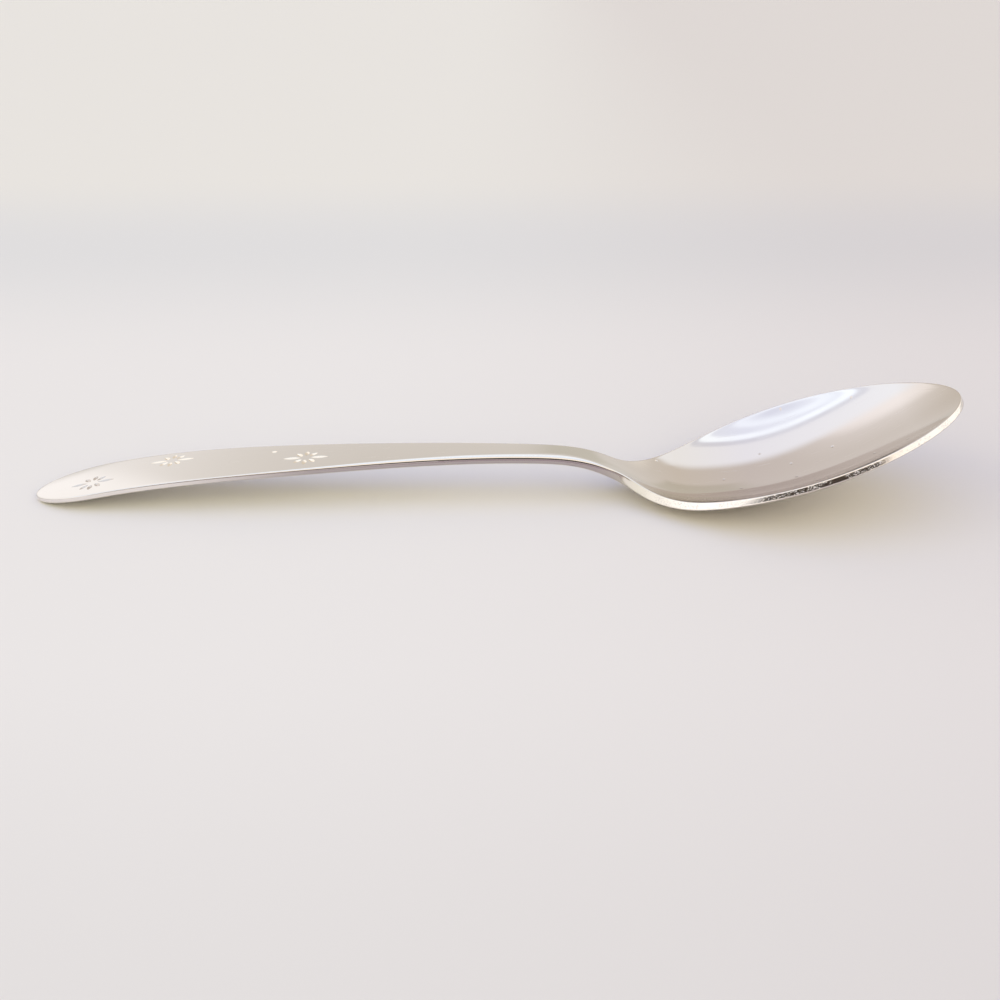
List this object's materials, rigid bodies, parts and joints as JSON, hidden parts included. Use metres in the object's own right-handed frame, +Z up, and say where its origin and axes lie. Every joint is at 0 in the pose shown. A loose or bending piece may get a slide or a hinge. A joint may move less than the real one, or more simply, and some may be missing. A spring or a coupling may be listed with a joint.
{
  "type": "teaspoon",
  "caption": "Slim stainless teaspoon with an arched, tapering handle, a narrow neck and a teardrop bowl whose tip turns up, for stirring and for taking small measures.",
  "frame": {"origin": "centre of the bottom of the part's box, on the table that the spoon lies on", "axes": "+X from the handle's end to the bowl's tip, +Y across the spoon, +Z up out of the bowl"},
  "size_m": [0.1516, 0.0324, 0.0181],
  "materials": {
    "steel": "polished stainless steel with fine wear scratches"
  },
  "bodies": {
    "root": {"teaspoon": "steel"}
  },
  "joints": []
}
